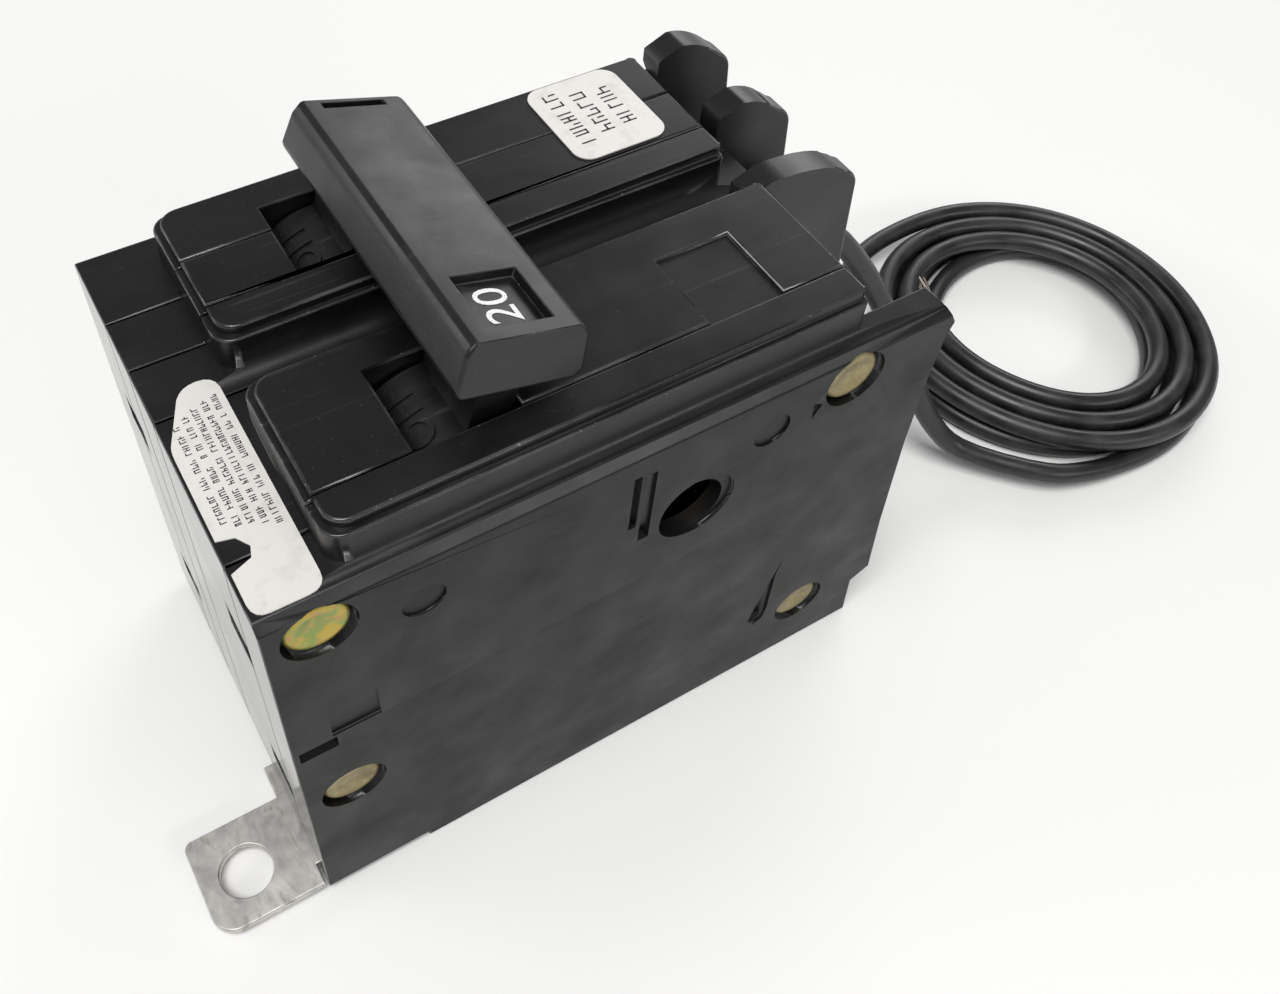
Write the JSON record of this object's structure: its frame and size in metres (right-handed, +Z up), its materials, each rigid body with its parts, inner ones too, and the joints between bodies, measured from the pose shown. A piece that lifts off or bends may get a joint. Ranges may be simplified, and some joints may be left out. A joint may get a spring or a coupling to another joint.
{
  "type": "shunt-trip circuit breaker",
  "caption": "Bolt-on circuit breaker with a switching pole and a shunt-trip pole side by side, common toggle handle, line tab, and coiled control leads.",
  "frame": {"origin": "centre of the bottom of the breaker's box, with the leads left out: on the mounting face, midway between the line tab's end and the load-end barriers, on the boundary between the poles", "axes": "+Z up out of the mounting face towards the handle, +X from the line tab to the load end, +Y from the switching pole to the shunt-trip pole"},
  "size_m": [0.185, 0.063, 0.0786],
  "materials": {
    "case": "moulded black phenolic, satin",
    "handle": "moulded black thermoset, polished by use",
    "rivet": "pale chromated rivet heads",
    "label": "white film label",
    "tinned_copper": "tin-plated copper, dull",
    "silver": "silver contact",
    "copper": "bare copper",
    "steel": "zinc-plated steel",
    "fibre": "vulcanised fibre",
    "bimetal": "rolled strip",
    "nylon": "natural nylon",
    "winding": "enamelled winding wire",
    "rubber": "black rubber",
    "lead": "black PVC insulation, stripped tinned ends"
  },
  "bodies": {
    "case": {"arc_plate_1": "steel", "arc_plate_2": "steel", "arc_plate_3": "steel", "arc_plate_4": "steel", "arc_plate_5": "steel", "arc_plate_holder_1": "fibre", "arc_plate_holder_2": "fibre", "armature_spring": "steel", "bimetal_strip": "bimetal", "breaker_pole_base": "case", "breaker_pole_cover": "case", "cradle_pin": "steel", "cutoff_switch_blade_1": "bimetal", "cutoff_switch_blade_2": "bimetal", "cutoff_switch_block": "fibre", "fixed_contact": "silver", "flexible_braid": "copper", "inner_wire_1": "lead", "inner_wire_2": "lead", "lead_1": "lead", "lead_2": "lead", "lead_bushing": "rubber", "lead_coil": "lead", "line_terminal": "tinned_copper", "load_strap": "copper", "magnet_yoke": "steel", "plunger_spring": "steel", "pole_label": "label", "rating_label": "label", "rivet_1": "rivet", "rivet_2": "rivet", "rivet_3": "rivet", "rivet_4": "rivet", "shunt_pole_base": "case", "shunt_pole_cover": "case", "shunt_pole_spacer": "case", "solenoid_bobbin": "nylon", "solenoid_frame": "steel", "solenoid_winding": "winding", "terminal_lug": "tinned_copper", "toggle_spring": "steel"},
    "handle": {"handle_bar": "handle"},
    "contact_arm": {"contact_arm": "copper", "moving_contact": "silver"},
    "cradle": {"cradle": "steel"},
    "armature": {"armature": "steel"},
    "trip_bar": {"trip_bar": "nylon"},
    "plunger": {"solenoid_plunger": "steel"},
    "lug_screw": {"lug_screw": "steel"}
  },
  "joints": [
    {"name": "handle_throw", "type": "hinge", "parent": "case", "child": "handle", "pos_m": [-0.011, 0, 0.0575], "axis": [0, 1, 0], "range_deg": [-32, 0]},
    {"name": "contact_swing", "type": "hinge", "parent": "case", "child": "contact_arm", "pos_m": [-0.0118, -0.0126, 0.0419], "axis": [0, 1, 0], "range_deg": [0, 38.4]},
    {"name": "cradle_trip", "type": "hinge", "parent": "case", "child": "cradle", "pos_m": [-0.001, -0.0192, 0.052], "axis": [0, 1, 0], "range_deg": [0, 24]},
    {"name": "plunger_stroke", "type": "slide", "parent": "case", "child": "plunger", "axis": [1, 0, 0], "range_m": [0, 0.0025], "stiffness_N_per_m": 60, "springref_m": -0.002},
    {"name": "trip_bar_turn", "type": "hinge", "parent": "case", "child": "trip_bar", "pos_m": [0.011, 0, 0.0479], "axis": [0, 1, 0], "range_deg": [-6.1, 0]},
    {"name": "armature_pull", "type": "hinge", "parent": "case", "child": "armature", "pos_m": [0.0166, -0.0125, 0.046], "axis": [0, 1, 0], "range_deg": [-5.1, 0]},
    {"name": "lug_screw_travel", "type": "slide", "parent": "case", "child": "lug_screw", "axis": [0, 0, 1], "range_m": [-0.0045, 0]}
  ],
  "couplings": [
    {"joint": "contact_swing", "follows": "handle_throw", "ratio": -1.19},
    {"joint": "trip_bar_turn", "follows": "plunger_stroke", "rad_per_m": -41.9},
    {"joint": "armature_pull", "follows": "plunger_stroke", "rad_per_m": -34.9}
  ]
}
